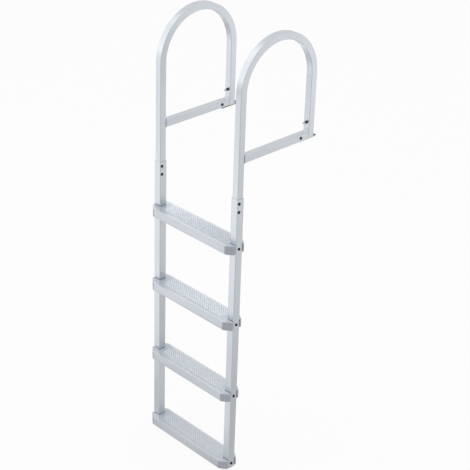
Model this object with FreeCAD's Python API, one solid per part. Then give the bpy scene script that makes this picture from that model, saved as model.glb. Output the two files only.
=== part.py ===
"""Pontoon boat ladder: two square-tube sides with arched handrails, and four deep aluminium treads.

Each side is a straight lower rail with a handrail pushed into its top. The handrail is one square
tube bent to a half-round arch, and a level deck bar joins its two legs. The ladder bolts down through
a thin base plate under each rear corner. Every tread is an open extrusion, cut out around both rails.
A moulded end cap closes each end of it. X runs across the ladder, the climber stands on the -Y side,
and +Z is up. The origin lies on the underside of the left base plate, below the axis of the rear leg.
"""
import FreeCAD, Part
import math
import os

from FreeCAD import Vector

# Sides, in millimetres
RAIL_SPACING = 392.0
LOOP_DEPTH = 336.0
RAIL_TUBE = 30.0
RAIL_WALL = 2.0
HANDRAIL_TUBE = 25.6
HANDRAIL_WALL = 1.8
CORNER_RADIUS = 1.4
ARCH_ABOVE_DECK = 394.0
HANDRAIL_INSERT = 92.0
RAIL_PLUG_FLANGE = 2.0
RAIL_PLUG_DEPTH = 7.0

# Deck level
BASE_PLATE_THICKNESS = 3.0
BASE_PLATE_WIDTH = 21.0
BASE_PLATE_REACH = 38.0
TOE_LENGTH = 18.0
TOE_ANGLE = 12.0
BAR_FLANGE_THICKNESS = 2.5
BAR_FLANGE_RISE = 5.0
BAR_PLUG_DEPTH = 32.0
BAR_END_GAP = 0.8
WELD_LEG = 5.0

# Treads
TREAD_COUNT = 4
TREAD_PITCH = 305.0
FIRST_TREAD_DROP = 326.6
RAIL_ABOVE_TREAD = 173.0
TREAD_HEIGHT = 33.8
TREAD_FRONT = 43.0
TREAD_REAR = 39.0
TREAD_TOP_WALL = 2.4
TREAD_SKIN = 2.4
NOSE_RADIUS = 1.2
HEM_RISE = 8.0
HEM_INSET = 1.0
HEM_LIP = 9.0
GROOVE_COUNT = 12
GROOVE_WIDTH = 2.2
GROOVE_DEPTH = 0.9
NOSING_BAND = 11.0
TREAD_OVERHANG = 1.0
END_HALF = 23.0
CHAMFER_X = 25.0
CAP_WALL = 3.0
NOTCH_GAP = 1.5
NOTCH_WALL = 4.0

# Bolts
BOLT_RADIUS = 3.0
BOLT_SIDES = 16
HOLE_GAP = 0.2
HEAD_RADIUS = 5.6
HEAD_CROWN_RADIUS = 3.4
HEAD_RIM = 1.4
HEAD_HEIGHT = 3.4
NUT_FLATS = 10.0
NUT_HEIGHT = 5.0
BOLT_TIP = 1.6
SLEEVE_BOLT_DROP = 16.0
SLEEVE_BOLT_PITCH = 31.5
SLEEVE_BOLT_SHIFT = 6.5
TREAD_BOLT_DROP = 18.2
LEG_BOLT_RISE = 33.5
LEG_BOLT_TIP = 13.0
BAR_BOLT_SETBACK = 37.5

# Worked out from the dimensions above
DECK_TOP = BASE_PLATE_THICKNESS + HANDRAIL_TUBE
ARCH_RADIUS = LOOP_DEPTH / 2
ARCH_CENTRE_Z = DECK_TOP + ARCH_ABOVE_DECK - HANDRAIL_TUBE / 2 - ARCH_RADIUS
TREAD_TOPS = [DECK_TOP - FIRST_TREAD_DROP - TREAD_PITCH * i for i in range(TREAD_COUNT)]
RAIL_TOP = TREAD_TOPS[0] + RAIL_ABOVE_TREAD
RAIL_BOTTOM = TREAD_TOPS[-1] - TREAD_HEIGHT - RAIL_PLUG_FLANGE
LEG_FOOT = RAIL_TOP - HANDRAIL_INSERT
RAIL_Y = -LOOP_DEPTH
SLEEVE_BOLT_Y = RAIL_Y - SLEEVE_BOLT_SHIFT
TREAD_END = RAIL_TUBE / 2 + TREAD_OVERHANG
HOLE_RADIUS = BOLT_RADIUS + HOLE_GAP
SIDES = (("left", 0.0, 1), ("right", RAIL_SPACING, -1))


def export(shape, name):
    """Writes one sub-part as a STEP file, named as its node."""
    os.makedirs("parts", exist_ok=True)
    shape.exportStep(f"parts/{name}.step")


def polygon_face(points):
    """A flat face inside a closed outline of points."""
    return Part.Face(Part.makePolygon(list(points) + [points[0]]))


def square_face(size, radius, x, y, z):
    """A level square with round corners of two flats each, or sharp ones where the radius is zero."""
    half = size / 2
    flat = half - radius
    middle = flat + radius * math.sqrt(0.5)
    corner = [(half, flat), (middle, middle), (flat, half)] if radius else [(half, half)]
    points = []
    for turn in range(4):
        quarter = FreeCAD.Rotation(Vector(0, 0, 1), 90 * turn)
        points += [quarter.multVec(Vector(*place, 0)) + Vector(x, y, z) for place in corner]
    return polygon_face(points)


def tube_section(size, wall, x, y, z):
    """The ring-shaped cross-section of a square tube, level at height z."""
    return square_face(size, CORNER_RADIUS, x, y, z).cut(square_face(size - 2 * wall, 0, x, y, z))


def upright_tube(size, wall, x, y, z_low, z_high):
    """A vertical square tube."""
    return tube_section(size, wall, x, y, z_low).extrude(Vector(0, 0, z_high - z_low))


def ring_points(radius, sides, centre, axis):
    """The corners of a level-topped polygon around a horizontal axis."""
    top = Vector(0, 0, radius)
    return [centre + FreeCAD.Rotation(axis, 360 * i / sides).multVec(top) for i in range(sides)]


def round_bar(radius, start, end):
    """A straight bar with as many sides as a bolt, as a shank or as the cutter of its hole."""
    return polygon_face(ring_points(radius, BOLT_SIDES, start, end - start)).extrude(end - start)


def cross_hole(x_low, x_high, y, z):
    """The cutter of a bolt hole along X."""
    return round_bar(HOLE_RADIUS, Vector(x_low, y, z), Vector(x_high, y, z))


def long_hole(x, y_low, y_high, z):
    """The cutter of a bolt hole along Y."""
    return round_bar(HOLE_RADIUS, Vector(x, y_low, z), Vector(x, y_high, z))


def sleeve_bolt_heights():
    """Heights of the two bolts that hold a handrail in its rail."""
    return [RAIL_TOP - SLEEVE_BOLT_DROP - SLEEVE_BOLT_PITCH * i for i in range(2)]


def tread_bolt_heights():
    """Height of the bolt through the rail at every tread."""
    return [top - TREAD_BOLT_DROP for top in TREAD_TOPS]


def rail(x):
    """The straight lower rail, drilled for its bolts."""
    body = upright_tube(RAIL_TUBE, RAIL_WALL, x, RAIL_Y, RAIL_BOTTOM + RAIL_PLUG_FLANGE, RAIL_TOP)
    places = [(SLEEVE_BOLT_Y, z) for z in sleeve_bolt_heights()]
    places += [(RAIL_Y, z) for z in tread_bolt_heights()]
    for y, z in places:
        body = body.cut(cross_hole(x - RAIL_TUBE, x + RAIL_TUBE, y, z))
    return body


def rail_plug(x):
    """The plastic plug that closes the foot of a rail, its flange as wide as the tube."""
    flange = square_face(RAIL_TUBE, CORNER_RADIUS, x, RAIL_Y, RAIL_BOTTOM)
    bore = RAIL_TUBE - 2 * RAIL_WALL
    stem = Part.makeBox(bore, bore, RAIL_PLUG_DEPTH + RAIL_PLUG_FLANGE,
                        Vector(x - bore / 2, RAIL_Y - bore / 2, RAIL_BOTTOM))
    return flange.extrude(Vector(0, 0, RAIL_PLUG_FLANGE)).fuse(stem).removeSplitter()


def handrail(x):
    """One tube: a long front leg, a half-round arch and a rear leg down to the base plate."""
    size, wall = HANDRAIL_TUBE, HANDRAIL_WALL
    front = upright_tube(size, wall, x, RAIL_Y, LEG_FOOT, ARCH_CENTRE_Z)
    rear = upright_tube(size, wall, x, 0, BASE_PLATE_THICKNESS, ARCH_CENTRE_Z)
    centre = Vector(x, RAIL_Y + ARCH_RADIUS, ARCH_CENTRE_Z)
    arch = tube_section(size, wall, x, RAIL_Y, ARCH_CENTRE_Z).revolve(centre, Vector(-1, 0, 0), 180)
    body = front.fuse([arch, rear])
    for z in sleeve_bolt_heights():
        body = body.cut(cross_hole(x - size, x + size, SLEEVE_BOLT_Y, z))
    leg_bolt_z = DECK_TOP + LEG_BOLT_RISE
    return body.cut(long_hole(x, -size, size, leg_bolt_z))


def deck_bar(x):
    """The level bar on the deck, from its front flange to a narrow seam before the rear leg."""
    start = RAIL_Y + HANDRAIL_TUBE / 2 + BAR_FLANGE_THICKNESS
    length = -HANDRAIL_TUBE / 2 - BAR_END_GAP - start
    ring = tube_section(HANDRAIL_TUBE, HANDRAIL_WALL, 0, 0, 0)
    ring.rotate(Vector(0, 0, 0), Vector(1, 0, 0), -90)
    ring.translate(Vector(x, start, bar_centre_z()))
    body = ring.extrude(Vector(0, length, 0))
    return body.cut(cross_hole(x - HANDRAIL_TUBE, x + HANDRAIL_TUBE, bar_bolt_y(), bar_centre_z()))


def bar_centre_z():
    """Height of the deck bar's axis."""
    return BASE_PLATE_THICKNESS + HANDRAIL_TUBE / 2


def bar_bolt_y():
    """Place of the cross bolt near the rear end of the deck bar."""
    return -HANDRAIL_TUBE / 2 - BAR_BOLT_SETBACK


def bar_flange(x):
    """The flanged plug in the front end of the deck bar, its flange standing above the bar."""
    y = RAIL_Y + HANDRAIL_TUBE / 2
    bore = HANDRAIL_TUBE - 2 * HANDRAIL_WALL
    flange = Part.makeBox(HANDRAIL_TUBE, BAR_FLANGE_THICKNESS, HANDRAIL_TUBE + BAR_FLANGE_RISE,
                          Vector(x - HANDRAIL_TUBE / 2, y, BASE_PLATE_THICKNESS))
    plug = Part.makeBox(bore, BAR_FLANGE_THICKNESS + BAR_PLUG_DEPTH, bore,
                        Vector(x - bore / 2, y, bar_centre_z() - bore / 2))
    return flange.fuse(plug).removeSplitter()


def corner_weld(x):
    """The bead in the inside corner that joins the deck bar's top to the rear leg."""
    corner = Vector(x - HANDRAIL_TUBE / 2 + CORNER_RADIUS, -HANDRAIL_TUBE / 2, DECK_TOP)
    along = corner + Vector(0, -WELD_LEG, 0)
    up = corner + Vector(0, 0, WELD_LEG)
    crown = corner + Vector(0, -WELD_LEG * 0.58, WELD_LEG * 0.58)
    bead = Part.Face(Part.Wire([Part.makeLine(corner, along), Part.Arc(along, crown, up).toShape(),
                                Part.makeLine(up, corner)]))
    return bead.extrude(Vector(HANDRAIL_TUBE - 2 * CORNER_RADIUS, 0, 0))


def base_plate(x, inward):
    """The thin plate under a rear corner, flush with the inner face and turned up behind the leg."""
    thick = BASE_PLATE_THICKNESS
    front = -HANDRAIL_TUBE / 2 - BASE_PLATE_REACH
    heel = HANDRAIL_TUBE / 2
    angle = math.radians(TOE_ANGLE)
    run = Vector(0, TOE_LENGTH * math.cos(angle), TOE_LENGTH * math.sin(angle))
    lift = Vector(0, -thick * math.sin(angle), thick * math.cos(angle))
    bend_top = Vector(0, heel + 1 - thick * math.tan(angle / 2), thick)
    bend_low = Vector(0, heel + 1, 0)
    outline = [Vector(0, front, 0), bend_low, bend_low + run, bend_low + run + lift, bend_top,
               Vector(0, front, thick)]
    plate = polygon_face(outline).extrude(Vector(BASE_PLATE_WIDTH, 0, 0))
    inner_face = x + inward * HANDRAIL_TUBE / 2
    plate.translate(Vector(inner_face if inward < 0 else inner_face - BASE_PLATE_WIDTH, 0, 0))
    return plate


def tread_block(x_low, x_high, top):
    """A solid bar with the tread's outside: round top edges and skirts that turn in at the foot."""
    front = RAIL_Y - TREAD_FRONT
    rear = RAIL_Y + TREAD_REAR
    foot = top - TREAD_HEIGHT
    hem = foot + HEM_RISE
    outline = [Vector(x_low, y, z) for y, z in (
        (front, top), (rear, top), (rear, hem), (rear - HEM_INSET, foot),
        (front + HEM_INSET, foot), (front, hem))]
    bar = polygon_face(outline).extrude(Vector(x_high - x_low, 0, 0))
    round_edges = [edge for edge in bar.Edges
                   if edge.BoundBox.ZMin > top - 0.01 and edge.BoundBox.XLength > 1]
    return bar.makeFillet(NOSE_RADIUS, round_edges)


def tread_hollow(x_low, x_high, top):
    """The space under the tread's top, between the skirts and their inward lips, open below."""
    front = RAIL_Y - TREAD_FRONT + TREAD_SKIN
    rear = RAIL_Y + TREAD_REAR - TREAD_SKIN
    foot = top - TREAD_HEIGHT
    floor = foot + TREAD_SKIN
    hem = foot + HEM_RISE
    slant = HEM_INSET * (hem - floor) / HEM_RISE
    lip = HEM_INSET + HEM_LIP
    outline = [Vector(x_low, y, z) for y, z in (
        (front, top - TREAD_TOP_WALL), (rear, top - TREAD_TOP_WALL), (rear, hem), (rear - slant, floor),
        (rear - lip, floor), (rear - lip, foot), (front + lip, foot), (front + lip, floor),
        (front + slant, floor), (front, hem))]
    return polygon_face(outline).extrude(Vector(x_high - x_low, 0, 0))


def tread_grooves(x_low, x_high, top):
    """Cutters for the lengthwise grooves between the ribs of the tread's top."""
    first = RAIL_Y - TREAD_FRONT + NOSING_BAND
    last = RAIL_Y + TREAD_REAR - NOSING_BAND
    pitch = (last - first) / (GROOVE_COUNT - 1)
    return [Part.makeBox(x_high - x_low, GROOVE_WIDTH, 2 * GROOVE_DEPTH,
                         Vector(x_low, first + pitch * i - GROOVE_WIDTH / 2, top - GROOVE_DEPTH))
            for i in range(GROOVE_COUNT)]


def end_corner(edge, inset):
    """Where a cut corner starts along the tread and where it meets the end, measured from the rail."""
    depth = edge - END_HALF
    slope = math.hypot(CHAMFER_X, depth)
    return TREAD_END - CHAMFER_X - inset * slope / depth, END_HALF - inset * (slope - depth) / CHAMFER_X


def plan_block(ceiling, inset=0.0):
    """A block with the tread's plan below a ceiling, its ends and cut corners set back by the inset."""
    front_start, front_shoulder = end_corner(TREAD_FRONT, inset)
    rear_start, rear_shoulder = end_corner(TREAD_REAR, inset)
    half = [(front_start, -TREAD_FRONT), (TREAD_END - inset, -front_shoulder),
            (TREAD_END - inset, rear_shoulder), (rear_start, TREAD_REAR)]
    floor = ceiling - 3 * TREAD_HEIGHT
    outline = [Vector(RAIL_SPACING + dx, RAIL_Y + dy, floor) for dx, dy in half]
    outline += [Vector(-dx, RAIL_Y + dy, floor) for dx, dy in reversed(half)]
    return polygon_face(outline).extrude(Vector(0, 0, 3 * TREAD_HEIGHT))


def cap_zone(top):
    """The band round the tread's ends, below its top plate, that the cap's plates fill."""
    return plan_block(top - TREAD_TOP_WALL).cut(plan_block(top, CAP_WALL))


def notch_block(x, inward, top, wall=0.0):
    """A block as wide as the notch around a rail, open to the end of the tread."""
    half = RAIL_TUBE / 2 + NOTCH_GAP + wall
    reach = half + 2 * RAIL_TUBE
    low_x = x - reach if inward > 0 else x - half
    return Part.makeBox(reach + half, 2 * half, 3 * TREAD_HEIGHT,
                        Vector(low_x, RAIL_Y - half, top - 2 * TREAD_HEIGHT))


def tread(top):
    """One tread, cut to its plan with its top plate over the caps, and notched around both rails."""
    span = (-RAIL_TUBE, RAIL_SPACING + RAIL_TUBE, top)
    body = tread_block(*span).cut(tread_hollow(*span)).cut(tread_grooves(*span))
    body = body.common(plan_block(top)).cut(cap_zone(top))
    return body.cut([notch_block(x, inward, top) for _, x, inward in SIDES])


def tread_cap(x, inward, top):
    """A moulded cap: plates under the cut end, and a saddle around the rail with the bolt's hole."""
    reach = RAIL_TUBE / 2 + NOTCH_GAP + NOTCH_WALL + CHAMFER_X
    span = (x - reach, x + reach, top)
    plates = tread_block(*span).common(cap_zone(top))
    saddle = tread_hollow(*span).common(plan_block(top, CAP_WALL))
    saddle = saddle.common(notch_block(x, inward, top, NOTCH_WALL))
    cap = plates.fuse(saddle).cut(notch_block(x, inward, top)).removeSplitter()
    return cap.cut(cross_hole(x - 2 * RAIL_TUBE, x + 2 * RAIL_TUBE, RAIL_Y, top - TREAD_BOLT_DROP))


def banded_solid(rings):
    """A closed solid whose flat faces join every ring of corners to the next."""
    faces = [polygon_face(rings[0]), polygon_face(rings[-1])]
    for low, high in zip(rings, rings[1:]):
        for i, point in enumerate(low):
            faces.append(polygon_face([low[i - 1], point, high[i], high[i - 1]]))
    return Part.Solid(Part.Shell(faces))


def dome(seat, out):
    """The low domed end of a bolt, rising outward from its seat."""
    levels = ((0, HEAD_RADIUS), (HEAD_RIM, HEAD_RADIUS), (HEAD_HEIGHT, HEAD_CROWN_RADIUS))
    return banded_solid([ring_points(radius, BOLT_SIDES, seat + out * height, -out)
                         for height, radius in levels])


def nut_bolt(outer, inner, tip=BOLT_TIP):
    """A domed bolt from its head's seat to its nut's seat, its tip standing out of the hexagonal nut."""
    axis = (inner - outer).normalize()
    shank = round_bar(BOLT_RADIUS, outer, inner + axis * (NUT_HEIGHT + tip))
    nut = polygon_face(ring_points(NUT_FLATS / math.sqrt(3), 6, inner, axis)).extrude(axis * NUT_HEIGHT)
    return dome(outer, -axis).fuse([shank, nut]).removeSplitter()


def binding_bolt(x, y, z, half):
    """A bolt across a tube along X, with the same low dome on both faces of the tube."""
    low, high = Vector(x - half, y, z), Vector(x + half, y, z)
    out = Vector(1, 0, 0)
    return dome(low, -out).fuse([round_bar(BOLT_RADIUS, low, high), dome(high, out)]).removeSplitter()


def sleeve_bolts(x):
    """The two bolts that hold the handrail in the rail."""
    return Part.makeCompound([binding_bolt(x, SLEEVE_BOLT_Y, z, RAIL_TUBE / 2)
                              for z in sleeve_bolt_heights()])


def tread_bolts(x, inward):
    """The bolts through the rail and the saddle of every tread cap, heads on the ladder's outer side."""
    head = x - inward * RAIL_TUBE / 2
    nut = x + inward * (RAIL_TUBE / 2 + NOTCH_GAP + NOTCH_WALL)
    return Part.makeCompound([nut_bolt(Vector(head, RAIL_Y, z), Vector(nut, RAIL_Y, z))
                              for z in tread_bolt_heights()])


def corner_bolts(x):
    """The bolt across the deck bar's rear end and the long one through the rear leg, nut to the front."""
    half = HANDRAIL_TUBE / 2
    bar_bolt = binding_bolt(x, bar_bolt_y(), bar_centre_z(), half)
    leg_z = DECK_TOP + LEG_BOLT_RISE
    leg_bolt = nut_bolt(Vector(x, half, leg_z), Vector(x, -half, leg_z), LEG_BOLT_TIP)
    return Part.makeCompound([bar_bolt, leg_bolt])


def build_sides():
    """Writes the pieces of both sides."""
    for side, x, inward in SIDES:
        export(rail(x), f"{side}_rail")
        export(rail_plug(x), f"{side}_rail_plug")
        export(handrail(x), f"{side}_handrail")
        export(deck_bar(x), f"{side}_deck_bar")
        export(bar_flange(x), f"{side}_bar_flange")
        export(corner_weld(x), f"{side}_corner_weld")
        export(base_plate(x, inward), f"{side}_base_plate")
        export(sleeve_bolts(x), f"{side}_sleeve_bolts")
        export(tread_bolts(x, inward), f"{side}_tread_bolts")
        export(corner_bolts(x), f"{side}_corner_bolts")


def build_treads():
    """Writes the treads from the top one down, with their caps."""
    for number, top in enumerate(TREAD_TOPS, start=1):
        export(tread(top), f"tread_{number}")
        for side, x, inward in SIDES:
            export(tread_cap(x, inward, top), f"tread_{number}_{side}_cap")


build_sides()
build_treads()
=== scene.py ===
"""Looks of the pontoon boat ladder: satin anodised tubes, ribbed treads, grey end caps, dark bolts.

Lengths are in metres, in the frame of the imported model. The climber stands on the -Y side.
"""

import math

import bpy
from mathutils import Matrix, Vector


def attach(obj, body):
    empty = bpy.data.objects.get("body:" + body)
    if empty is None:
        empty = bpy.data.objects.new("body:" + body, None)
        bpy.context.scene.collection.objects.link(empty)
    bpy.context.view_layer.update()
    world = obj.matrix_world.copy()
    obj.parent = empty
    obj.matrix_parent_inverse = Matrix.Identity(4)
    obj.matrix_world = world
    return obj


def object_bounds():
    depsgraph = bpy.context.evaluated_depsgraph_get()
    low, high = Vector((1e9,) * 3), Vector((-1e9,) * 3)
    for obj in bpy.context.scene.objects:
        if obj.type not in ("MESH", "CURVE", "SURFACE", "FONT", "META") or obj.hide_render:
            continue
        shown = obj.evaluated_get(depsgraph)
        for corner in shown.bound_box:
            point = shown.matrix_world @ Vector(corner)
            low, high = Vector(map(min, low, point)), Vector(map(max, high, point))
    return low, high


MM = 0.001

# Camera, as the photograph was taken
LOOK_AT = Vector((0.2150, -0.1651, -0.3986))
CAMERA_DISTANCE = 4.8323
CAMERA_AZIMUTH = math.radians(44.872)
CAMERA_ELEVATION = math.radians(28.136)
CAMERA_ROLL = math.radians(1.985)
LENS = 102.1
SENSOR = 36.0

# The ladder, as in the solids
LADDER_WIDTH = 392.0 * MM
LOOP_DEPTH = 336.0 * MM
HANDRAIL_TUBE = 25.6 * MM
ARCH_CENTRE_Y = -168.0 * MM
ARCH_CENTRE_Z = 241.8 * MM
DECK_TOP = 28.6 * MM
NUT_HEIGHT = 5.0 * MM
TREAD_TOPS = [(-298.0 - 305.0 * i) * MM for i in range(4)]
TREAD_FRONT = 43.0 * MM
TREAD_REAR = 39.0 * MM
NOSING_BAND = 11.0 * MM
RIB_COUNT = 11

# Teeth across the ribs of a tread from the second rib to the rear band, every other row half a pitch on
TOOTH_PITCH = 10.9 * MM
TOOTH_LENGTH = 6.4 * MM
TOOTH_WIDTH = 4.4 * MM
TOOTH_RISE = 0.55 * MM
TOOTH_SINK = 0.05 * MM
TOOTH_RUN = 305.2 * MM
TOOTH_ROWS = 11
TOOTH_SIDES = 3

# Ripples of a corner weld
WELD_RIPPLES = 13
WELD_RADIUS = 2.7 * MM
WELD_OFFSET = 1.5 * MM
RIPPLE_SQUASH = (0.7, 1.0, 1.0)
RIPPLE_LEAN = math.radians(14)
RIPPLE_DETAIL = 3

# Patterns of the materials: what is drawn, and how high its relief stands
LINE_SPACING = 2.5 * MM
LINE_RELIEF = 0.03 * MM
LINE_STRETCH = 0.01
TONE_CLOUD = 80.0 * MM
TONE_CLOUD_SHARE = 0.4
GRAIN = 1.2 * MM
GRAIN_RELIEF = 0.08 * MM
SINK_CLOUD = 25.0 * MM
MOULD_GLOSS = 0.7
MOULD_GLOSS_ROUGHNESS = 0.12
BOLT_MOTTLE = 3.0 * MM
PLATE_MOTTLE = 6.0 * MM
MOTTLE_RELIEF = 0.04 * MM
FROST = 1.5 * MM
FROST_RELIEF = 0.05 * MM
THREAD_PITCH = 2.5 * MM
THREAD_RELIEF = 0.3 * MM
TIP_EDGE = 0.5 * MM

# A Wave texture of scale 1 runs through this many radians in a metre
WAVE_RADIANS = 20.0

# Colours and roughness that two materials share
TUBE_COLOURS = ("#E4E9EF", "#DCE1E7")
TUBE_ROUGHNESS = (0.3, 0.38)
BOLT_COLOURS = ("#3C3F45", "#4A4E55")
BOLT_ROUGHNESS = (0.32, 0.45)

# Sockets of a Mix node, which has one set for numbers and one for colours
MIX_FACTOR, NUMBER_A, NUMBER_B, COLOUR_A, COLOUR_B = 0, 2, 3, 6, 7
NUMBER_RESULT, COLOUR_RESULT = 0, 2

# Floor, with its pools of light: the middle, the radius and the gain of each
FLOOR_GAP = 1.0 * MM
FLOOR_SIZE = 30.0
SHADOW_SHARE = 0.12
FLOOR_LEVEL = 0.568
POOLS = (
    ((-0.48, -1.05), 0.8, 0.47),
    ((-1.04, -1.61), 1.0, 0.53),
    ((-1.75, -2.32), 1.3, 0.79),
    ((0.15, -0.62), 0.42, 0.37),
    ((0.27, -0.08), 0.35, 0.14),
    ((1.08, 0.51), 0.8, 0.15),
    ((1.64, 1.07), 1.0, 0.24),
    ((2.35, 1.78), 1.3, 0.2),
    ((-1.4, 0.6), 1.0, 0.5),
)

# Studio air and softboxes: the name, place, aim, size and power of each
WORLD_LEVEL = 0.777
SOFTBOXES = (
    ("key", (-2.0, -2.7, 1.4), (0.2, -0.2, 0.1), (2.2, 2.2), 6.2),
    ("top", (-0.9, -0.9, 2.1), (0.2, -0.3, -0.2), (1.4, 1.4), 3.05),
    ("left", (-2.2, -1.8, -0.2), (0.2, -0.3, -0.6), (1.6, 1.6), 4.5),
    ("right", (2.0, 2.2, -0.75), (0.2, -0.1, 0.1), (1.6, 0.7), 2.0),
    ("tread", (-0.16, 0.02, -0.10), (0.2, -0.34, -0.3), (0.5, 0.12), 0.18),
    ("strip", (-0.16, 0.02, -0.45), (0.2, -0.34, -0.45), (0.5, 0.55), 0.11),
)

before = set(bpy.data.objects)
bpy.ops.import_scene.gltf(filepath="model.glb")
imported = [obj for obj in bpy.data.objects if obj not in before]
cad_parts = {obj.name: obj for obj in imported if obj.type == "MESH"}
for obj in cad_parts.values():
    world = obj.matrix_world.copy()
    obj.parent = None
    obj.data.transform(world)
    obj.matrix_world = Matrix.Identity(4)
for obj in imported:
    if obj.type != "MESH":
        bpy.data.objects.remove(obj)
cad_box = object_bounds()


def linear(code):
    """A hex sRGB colour as linear RGBA."""
    channels = [int(code[i:i + 2], 16) / 255 for i in (1, 3, 5)]
    return [c / 12.92 if c <= 0.04045 else ((c + 0.055) / 1.055) ** 2.4 for c in channels] + [1.0]


def add(tree, kind, values=None):
    """Adds a node, sets its properties and inputs, and links the inputs that are given as sockets.

    An input is given by its name, or by its place where the node has several of one name.
    """
    node = tree.nodes.new(kind)
    for key, value in (values or {}).items():
        if isinstance(value, bpy.types.NodeSocket):
            tree.links.new(value, node.inputs[key])
        elif isinstance(key, str) and hasattr(node, key):
            setattr(node, key, value)
        else:
            node.inputs[key].default_value = value
    return node


def material(name, metallic):
    """A material with its shader and output, and the place that its patterns read."""
    made = bpy.data.materials.new(name)
    made.use_nodes = True
    tree = made.node_tree
    tree.nodes.clear()
    shader = add(tree, "ShaderNodeBsdfPrincipled", {"Metallic": metallic})
    add(tree, "ShaderNodeOutputMaterial", {"Surface": shader.outputs["BSDF"]})
    place = add(tree, "ShaderNodeTexCoord").outputs["Object"]
    return made, tree, shader, place


def blend_colours(tree, factor, first, second):
    """One colour turned to another by a pattern."""
    return add(tree, "ShaderNodeMix", {"data_type": "RGBA", MIX_FACTOR: factor, COLOUR_A: first,
                                       COLOUR_B: second}).outputs[COLOUR_RESULT]


def link_look(tree, shader, colours, roughness, blend, relief, depth):
    """Feeds a shader two colours and two roughnesses by one pattern, and a relief by another."""
    tint = blend_colours(tree, blend, linear(colours[0]), linear(colours[1]))
    gloss = add(tree, "ShaderNodeMapRange", {"Value": blend, "To Min": roughness[0], "To Max": roughness[1]})
    bump = add(tree, "ShaderNodeBump", {"Height": relief, "Strength": 1.0, "Distance": depth})
    tree.links.new(tint, shader.inputs["Base Color"])
    tree.links.new(gloss.outputs["Result"], shader.inputs["Roughness"])
    tree.links.new(bump.outputs["Normal"], shader.inputs["Normal"])
    return tint


def drawn_along_bend(tree, place):
    """Coordinates that stay level along an upright tube and round its arch, and vary across it."""
    axes = add(tree, "ShaderNodeSeparateXYZ", {"Vector": place})
    away = add(tree, "ShaderNodeMath", {"operation": "SUBTRACT", 0: axes.outputs["Y"], 1: ARCH_CENTRE_Y})
    above = add(tree, "ShaderNodeMath", {"operation": "SUBTRACT", 0: axes.outputs["Z"], 1: ARCH_CENTRE_Z})
    rise = add(tree, "ShaderNodeMath", {"operation": "MAXIMUM", 0: above.outputs[0], 1: 0.0})
    spoke = add(tree, "ShaderNodeCombineXYZ", {"Y": away.outputs[0], "Z": rise.outputs[0]})
    reach = add(tree, "ShaderNodeVectorMath", {"operation": "LENGTH", 0: spoke.outputs[0]})
    slow = add(tree, "ShaderNodeMath", {"operation": "MULTIPLY", 0: axes.outputs["Z"], 1: LINE_STRETCH})
    return add(tree, "ShaderNodeCombineXYZ", {"X": axes.outputs["X"], "Y": reach.outputs["Value"],
                                              "Z": slow.outputs[0]}).outputs[0]


def drawn_along_y(tree, place):
    """Coordinates squeezed along a profile that was drawn front to back."""
    return add(tree, "ShaderNodeMapping", {"Vector": place, "Scale": (1.0, LINE_STRETCH, 1.0)}).outputs[0]


def drawn_along_x(tree, place):
    """Coordinates squeezed along a profile that was drawn across the ladder."""
    return add(tree, "ShaderNodeMapping", {"Vector": place, "Scale": (LINE_STRETCH, 1.0, 1.0)}).outputs[0]


def satin_anodised(name, colours, roughness, section):
    """Extruded aluminium, brushed satin and clear anodised.

    A soft, even grey-white sheen. The real lines along the profile are about 0.3 mm apart. They are drawn
    2.5 mm apart, and so faintly that the render doesn't show them one by one. Clouds of about 80 mm vary
    the tone a little.
    """
    made, tree, shader, place = material(name, 1.0)
    lines = add(tree, "ShaderNodeTexNoise", {"Vector": section(tree, place), "Scale": 1 / LINE_SPACING,
                                             "Detail": 3.0, "Roughness": 0.6})
    clouds = add(tree, "ShaderNodeTexNoise", {"Vector": place, "Scale": 1 / TONE_CLOUD, "Detail": 2.0})
    blend = add(tree, "ShaderNodeMix", {"data_type": "FLOAT", MIX_FACTOR: TONE_CLOUD_SHARE,
                                        NUMBER_A: lines.outputs["Fac"], NUMBER_B: clouds.outputs["Fac"]})
    link_look(tree, shader, colours, roughness, blend.outputs[NUMBER_RESULT], lines.outputs["Fac"],
              LINE_RELIEF)
    return made


def moulded_plastic(name, colours, roughness):
    """Injection-moulded plastic: an even skin with the mould's thin gloss over a fine eroded grain.

    Slight sink marks vary its tone. A real grain is well under 1 mm. It is drawn 1.2 mm wide, and so
    faintly that the render doesn't show it.
    """
    made, tree, shader, place = material(name, 0.0)
    pits = add(tree, "ShaderNodeTexNoise", {"Vector": place, "Scale": 1 / GRAIN, "Detail": 2.0})
    clouds = add(tree, "ShaderNodeTexNoise", {"Vector": place, "Scale": 1 / SINK_CLOUD, "Detail": 1.0})
    link_look(tree, shader, colours, roughness, clouds.outputs["Fac"], pits.outputs["Fac"], GRAIN_RELIEF)
    shader.inputs["Coat Weight"].default_value = MOULD_GLOSS
    shader.inputs["Coat Roughness"].default_value = MOULD_GLOSS_ROUGHNESS
    return made


def plated_steel(name, colours, roughness, patch):
    """Steel with a plated skin: a grey sheen, slightly mottled from the bath."""
    made, tree, shader, place = material(name, 1.0)
    mottle = add(tree, "ShaderNodeTexNoise", {"Vector": place, "Scale": 1 / patch, "Detail": 3.0})
    link_look(tree, shader, colours, roughness, mottle.outputs["Fac"], mottle.outputs["Fac"], MOTTLE_RELIEF)
    return made


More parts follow.
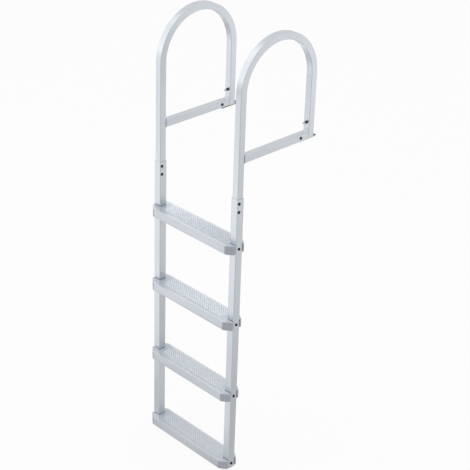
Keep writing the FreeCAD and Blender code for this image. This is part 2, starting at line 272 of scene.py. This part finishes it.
def plated_stud(name, colours, tip_colour, roughness, tip_from):
    """Bolt steel with a dark plated skin, rubbed bright on the thread that stands out of the nut.

    A pale ringed tip in front of a dark nut. The real thread has a pitch of 1 mm; its rings are drawn
    2.5 mm apart, so that they show close up.
    """
    made, tree, shader, place = material(name, 1.0)
    axes = add(tree, "ShaderNodeSeparateXYZ", {"Vector": place})
    proud = add(tree, "ShaderNodeMapRange", {"Value": axes.outputs["Y"], "From Min": tip_from,
                                             "From Max": tip_from - TIP_EDGE})
    above = add(tree, "ShaderNodeMath", {"operation": "GREATER_THAN", 0: axes.outputs["Z"], 1: DECK_TOP})
    tip = add(tree, "ShaderNodeMath", {"operation": "MULTIPLY", 0: proud.outputs["Result"],
                                       1: above.outputs[0]})
    mottle = add(tree, "ShaderNodeTexNoise", {"Vector": place, "Scale": 1 / BOLT_MOTTLE, "Detail": 3.0})
    rings = add(tree, "ShaderNodeTexWave", {"Vector": place, "bands_direction": "Y",
                                            "Scale": 2 * math.pi / (WAVE_RADIANS * THREAD_PITCH)})
    height = add(tree, "ShaderNodeMath", {"operation": "MULTIPLY", 0: rings.outputs["Fac"],
                                          1: tip.outputs[0]})
    skin = link_look(tree, shader, colours, roughness, mottle.outputs["Fac"], height.outputs[0],
                     THREAD_RELIEF)
    tint = blend_colours(tree, tip.outputs[0], skin, linear(tip_colour))
    tree.links.new(tint, shader.inputs["Base Color"])
    return made


def bright_weld(name):
    """A bead of filler aluminium, bright and glossy, with a little frosting between its ripples."""
    made, tree, shader, place = material(name, 1.0)
    frost = add(tree, "ShaderNodeTexNoise", {"Vector": place, "Scale": 1 / FROST, "Detail": 3.0})
    link_look(tree, shader, ("#E9EDF1", "#DBE0E5"), (0.3, 0.5), frost.outputs["Fac"], frost.outputs["Fac"],
              FROST_RELIEF)
    return made


def dress(part, finish):
    """Gives a CAD node its material."""
    part.data.materials.clear()
    part.data.materials.append(finish)


def node_piece(name, tree, values):
    """Runs a geometry tree on an empty mesh and keeps the result as a plain mesh."""
    holder = bpy.data.objects.new(name + "_tree", bpy.data.meshes.new(name + "_tree"))
    bpy.context.scene.collection.objects.link(holder)
    grown = holder.modifiers.new("grown", "NODES")
    grown.node_group = tree
    for item in tree.interface.items_tree:
        if item.item_type == "SOCKET" and item.in_out == "INPUT" and item.name in values:
            grown[item.identifier] = values[item.name]
    holder.update_tag()
    bpy.context.view_layer.update()
    final = bpy.data.meshes.new_from_object(holder.evaluated_get(bpy.context.evaluated_depsgraph_get()))
    bpy.data.objects.remove(holder)
    piece = bpy.data.objects.new(name, final)
    bpy.context.scene.collection.objects.link(piece)
    return piece


def geometry_tree(name, inputs, finish):
    """A geometry tree with named inputs, and the node that ends it in one dressed mesh."""
    tree = bpy.data.node_groups.new(name, "GeometryNodeTree")
    for label, kind in inputs:
        tree.interface.new_socket(label, in_out="INPUT", socket_type=kind)
    tree.interface.new_socket("Geometry", in_out="OUTPUT", socket_type="NodeSocketGeometry")
    given = add(tree, "NodeGroupInput")
    whole = add(tree, "GeometryNodeRealizeInstances")
    dressed = add(tree, "GeometryNodeSetMaterial", {"Geometry": whole.outputs[0], "Material": finish})
    add(tree, "NodeGroupOutput", {"Geometry": dressed.outputs[0]})
    return tree, given.outputs, whole.inputs[0]


def tooth_tree(finish):
    """Rows of low three-sided teeth, every other row moved on by the stagger."""
    tree, given, end = geometry_tree("rib_teeth", (
        ("Centre", "NodeSocketVector"), ("Stagger", "NodeSocketFloat"), ("Run", "NodeSocketFloat"),
        ("Teeth", "NodeSocketInt"), ("Depth", "NodeSocketFloat"), ("Rows", "NodeSocketInt"),
        ("Tooth Width", "NodeSocketFloat"), ("Tooth Size", "NodeSocketVector")), finish)
    points = add(tree, "GeometryNodeMeshGrid", {"Size X": given["Run"], "Size Y": given["Depth"],
                                                "Vertices X": given["Teeth"], "Vertices Y": given["Rows"]})
    index = add(tree, "GeometryNodeInputIndex").outputs[0]
    row = add(tree, "ShaderNodeMath", {"operation": "MODULO", 0: index, 1: given["Rows"]})
    odd = add(tree, "ShaderNodeMath", {"operation": "MODULO", 0: row.outputs[0], 1: 2.0})
    shift = add(tree, "ShaderNodeMath", {"operation": "MULTIPLY", 0: odd.outputs[0], 1: given["Stagger"]})
    offset = add(tree, "ShaderNodeCombineXYZ", {"X": shift.outputs[0]})
    staggered = add(tree, "GeometryNodeSetPosition", {"Geometry": points.outputs["Mesh"],
                                                      "Offset": offset.outputs[0]})
    placed = add(tree, "GeometryNodeTransform", {"Geometry": staggered.outputs[0],
                                                 "Translation": given["Centre"]})
    prism = add(tree, "GeometryNodeMeshCylinder", {"Vertices": TOOTH_SIDES, "Radius": 1.0,
                                                   "Depth": given["Tooth Width"]})
    upright = add(tree, "GeometryNodeTransform", {"Geometry": prism.outputs["Mesh"],
                                                  "Rotation": (math.radians(90), 0.0, 0.0)})
    tooth = add(tree, "GeometryNodeTransform", {"Geometry": upright.outputs[0],
                                                "Scale": given["Tooth Size"]})
    rows = add(tree, "GeometryNodeInstanceOnPoints", {"Points": placed.outputs[0],
                                                      "Instance": tooth.outputs[0]})
    tree.links.new(rows.outputs[0], end)
    return tree


def ripple_tree(finish):
    """A row of flattened drops, each lapping over the last, as a weld bead cools."""
    tree, given, end = geometry_tree("weld_ripples", (
        ("Start", "NodeSocketVector"), ("Step", "NodeSocketVector"), ("Ripples", "NodeSocketInt"),
        ("Radius", "NodeSocketFloat"), ("Squash", "NodeSocketVector")), finish)
    line = add(tree, "GeometryNodeMeshLine", {"Count": given["Ripples"], "Start Location": given["Start"],
                                              "Offset": given["Step"]})
    drop = add(tree, "GeometryNodeMeshIcoSphere", {"Radius": given["Radius"],
                                                   "Subdivisions": RIPPLE_DETAIL})
    lapped = add(tree, "GeometryNodeTransform", {"Geometry": drop.outputs["Mesh"], "Scale": given["Squash"],
                                                 "Rotation": (0.0, 0.0, RIPPLE_LEAN)})
    smooth = add(tree, "GeometryNodeSetShadeSmooth", {"Geometry": lapped.outputs[0]})
    row = add(tree, "GeometryNodeInstanceOnPoints", {"Points": line.outputs["Mesh"],
                                                     "Instance": smooth.outputs[0]})
    tree.links.new(row.outputs[0], end)
    return tree


def make_camera():
    """The camera at the photograph's place."""
    data = bpy.data.cameras.new("photo_camera")
    data.lens = LENS
    data.sensor_width = SENSOR
    camera = bpy.data.objects.new("photo_camera", data)
    bpy.context.scene.collection.objects.link(camera)
    turn = (Matrix.Rotation(CAMERA_AZIMUTH, 4, "Z") @ Matrix.Rotation(math.pi / 2 - CAMERA_ELEVATION, 4, "X")
            @ Matrix.Rotation(CAMERA_ROLL, 4, "Z"))
    camera.matrix_world = Matrix.Translation(LOOK_AT + turn.col[2].to_3d() * CAMERA_DISTANCE) @ turn
    bpy.context.scene.camera = camera


def softbox(name, place, aim, size, power):
    """A rectangular studio lamp that faces a point."""
    data = bpy.data.lights.new(name, "AREA")
    data.shape = "RECTANGLE"
    data.size, data.size_y = size
    data.energy = power
    lamp = bpy.data.objects.new(name, data)
    bpy.context.scene.collection.objects.link(lamp)
    lamp.location = place
    lamp.visible_camera = False
    lamp.rotation_euler = (Vector(aim) - Vector(place)).to_track_quat("-Z", "Y").to_euler()


def make_floor():
    """A floor that is white to the camera, with a faint shadow, and dimmer with soft pools to the metal."""
    bpy.ops.mesh.primitive_plane_add(size=FLOOR_SIZE)
    floor = bpy.context.object
    floor.name = "floor"
    floor.location = (0.0, 0.0, cad_box[0].z - FLOOR_GAP)
    made = bpy.data.materials.new("white_sweep")
    made.use_nodes = True
    tree = made.node_tree
    tree.nodes.clear()
    paths = add(tree, "ShaderNodeLightPath")
    mirrored = add(tree, "ShaderNodeMath", {"operation": "MAXIMUM", 0: paths.outputs["Is Glossy Ray"],
                                            1: paths.outputs["Is Transmission Ray"]})
    seen = add(tree, "ShaderNodeMath", {"operation": "MULTIPLY", 0: paths.outputs["Is Camera Ray"],
                                        1: 1 - SHADOW_SHARE})
    share = add(tree, "ShaderNodeMath", {"operation": "MAXIMUM", 0: mirrored.outputs[0], 1: seen.outputs[0]})
    place = add(tree, "ShaderNodeTexCoord").outputs["Object"]
    level = FLOOR_LEVEL
    for middle, radius, gain in POOLS:
        away = add(tree, "ShaderNodeVectorMath", {"operation": "DISTANCE", 0: place, 1: (*middle, 0.0)})
        pool = add(tree, "ShaderNodeMapRange", {
            "interpolation_type": "SMOOTHSTEP", "Value": away.outputs["Value"], "From Min": 0.0,
            "From Max": radius, "To Min": gain, "To Max": 0.0})
        level = add(tree, "ShaderNodeMath", {"operation": "ADD", 0: level,
                                             1: pool.outputs["Result"]}).outputs[0]
    strength = add(tree, "ShaderNodeMix", {"data_type": "FLOAT", MIX_FACTOR: paths.outputs["Is Camera Ray"],
                                           NUMBER_A: level, NUMBER_B: 1.0})
    lit = add(tree, "ShaderNodeBsdfDiffuse", {"Color": linear("#FFFFFF")})
    glow = add(tree, "ShaderNodeEmission", {"Color": linear("#FFFFFF"),
                                            "Strength": strength.outputs[NUMBER_RESULT]})
    both = add(tree, "ShaderNodeMixShader", {0: share.outputs[0], 1: lit.outputs[0], 2: glow.outputs[0]})
    add(tree, "ShaderNodeOutputMaterial", {"Surface": both.outputs[0]})
    floor.data.materials.append(made)


def make_world():
    """Even studio air: white to the camera, a little below white as light on the ladder."""
    world = bpy.data.worlds.new("studio")
    bpy.context.scene.world = world
    world.use_nodes = True
    tree = world.node_tree
    tree.nodes.clear()
    paths = add(tree, "ShaderNodeLightPath")
    seen = add(tree, "ShaderNodeMath", {"operation": "MAXIMUM", 0: paths.outputs["Is Camera Ray"],
                                        1: paths.outputs["Is Transmission Ray"]})
    room = add(tree, "ShaderNodeBackground", {"Color": linear("#FFFFFF"), "Strength": WORLD_LEVEL})
    white = add(tree, "ShaderNodeBackground", {"Color": linear("#FFFFFF"), "Strength": 1.0})
    both = add(tree, "ShaderNodeMixShader", {0: seen.outputs[0], 1: room.outputs[0], 2: white.outputs[0]})
    add(tree, "ShaderNodeOutputWorld", {"Surface": both.outputs[0]})


bent_tube = satin_anodised("satin_anodised_bent_tube", TUBE_COLOURS, TUBE_ROUGHNESS, drawn_along_bend)
level_tube = satin_anodised("satin_anodised_level_tube", TUBE_COLOURS, TUBE_ROUGHNESS, drawn_along_y)
tread_metal = satin_anodised("satin_anodised_tread", ("#DEE3E9", "#D6DBE1"), (0.36, 0.46), drawn_along_x)
# The teeth's crests take a lighter copy of the tread metal: a painted highlight that brightens the tread
# tops.
crest_metal_painted_highlight = satin_anodised("satin_anodised_tread_crests_painted_highlight", ("#F0F4F9", "#E8EDF2"), (0.3, 0.4),
                             drawn_along_x)
weld_metal = bright_weld("bright_weld_bead")
bolt_steel = plated_steel("dark_plated_bolt_steel", BOLT_COLOURS, BOLT_ROUGHNESS, BOLT_MOTTLE)
stud_steel = plated_stud("dark_plated_bolt_steel_rubbed_thread", BOLT_COLOURS, "#D3D7DC", BOLT_ROUGHNESS,
                         -HANDRAIL_TUBE / 2 - NUT_HEIGHT)
plate_steel = plated_steel("grey_plated_sheet_steel", ("#85878C", "#94969B"), (0.4, 0.5), PLATE_MOTTLE)
cap_plastic = moulded_plastic("grey_moulded_polypropylene", ("#A2A7AF", "#ABB0B8"), (0.32, 0.45))
plug_plastic = moulded_plastic("black_moulded_polyethylene", ("#18191B", "#222325"), (0.4, 0.55))

# The first ending that a node's name has gives its material
finishes = (
    ("_cap", cap_plastic),
    ("rail_plug", plug_plastic),
    ("corner_bolts", stud_steel),
    ("bolts", bolt_steel),
    ("weld", weld_metal),
    ("base_plate", plate_steel),
    ("bar_flange", plate_steel),
    ("deck_bar", level_tube),
)
for name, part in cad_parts.items():
    usual = tread_metal if name.startswith("tread") else bent_tube
    dress(part, next((finish for ending, finish in finishes if name.endswith(ending)), usual))

# The teeth are dressed in the lighter crest metal, a painted highlight on the tread tops.
teeth = tooth_tree(crest_metal_painted_highlight)
rib_pitch = (TREAD_FRONT + TREAD_REAR - 2 * NOSING_BAND) / RIB_COUNT
# The first row lies on the middle of the second rib
first_row_y = -LOOP_DEPTH - TREAD_FRONT + NOSING_BAND + 1.5 * rib_pitch
# A tooth's foot is one side of a triangle, whose corners lie on this radius
tooth_radius = TOOTH_LENGTH / math.sqrt(3)
for number, top in enumerate(TREAD_TOPS, start=1):
    piece = node_piece(f"tread_{number}_teeth", teeth, {
        "Centre": (LADDER_WIDTH / 2 - TOOTH_PITCH / 4, first_row_y + rib_pitch * (TOOTH_ROWS - 1) / 2,
                   top - TOOTH_SINK),
        "Stagger": TOOTH_PITCH / 2, "Run": TOOTH_RUN, "Teeth": round(TOOTH_RUN / TOOTH_PITCH) + 1,
        "Depth": rib_pitch * (TOOTH_ROWS - 1), "Rows": TOOTH_ROWS, "Tooth Width": TOOTH_WIDTH,
        "Tooth Size": (tooth_radius, 1.0, TOOTH_RISE)})
    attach(piece, "root")

ripples = ripple_tree(weld_metal)
bead_length = HANDRAIL_TUBE - 2 * WELD_RADIUS
for side, x in (("left", 0.0), ("right", LADDER_WIDTH)):
    piece = node_piece(f"{side}_weld_ripples", ripples, {
        "Start": (x - bead_length / 2, -HANDRAIL_TUBE / 2 - WELD_OFFSET, DECK_TOP + WELD_OFFSET),
        "Step": (bead_length / (WELD_RIPPLES - 1), 0.0, 0.0), "Ripples": WELD_RIPPLES,
        "Radius": WELD_RADIUS, "Squash": RIPPLE_SQUASH})
    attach(piece, "root")

make_camera()
make_floor()
make_world()
for lamp in SOFTBOXES:
    softbox(*lamp)
bpy.context.scene.view_settings.view_transform = "Standard"
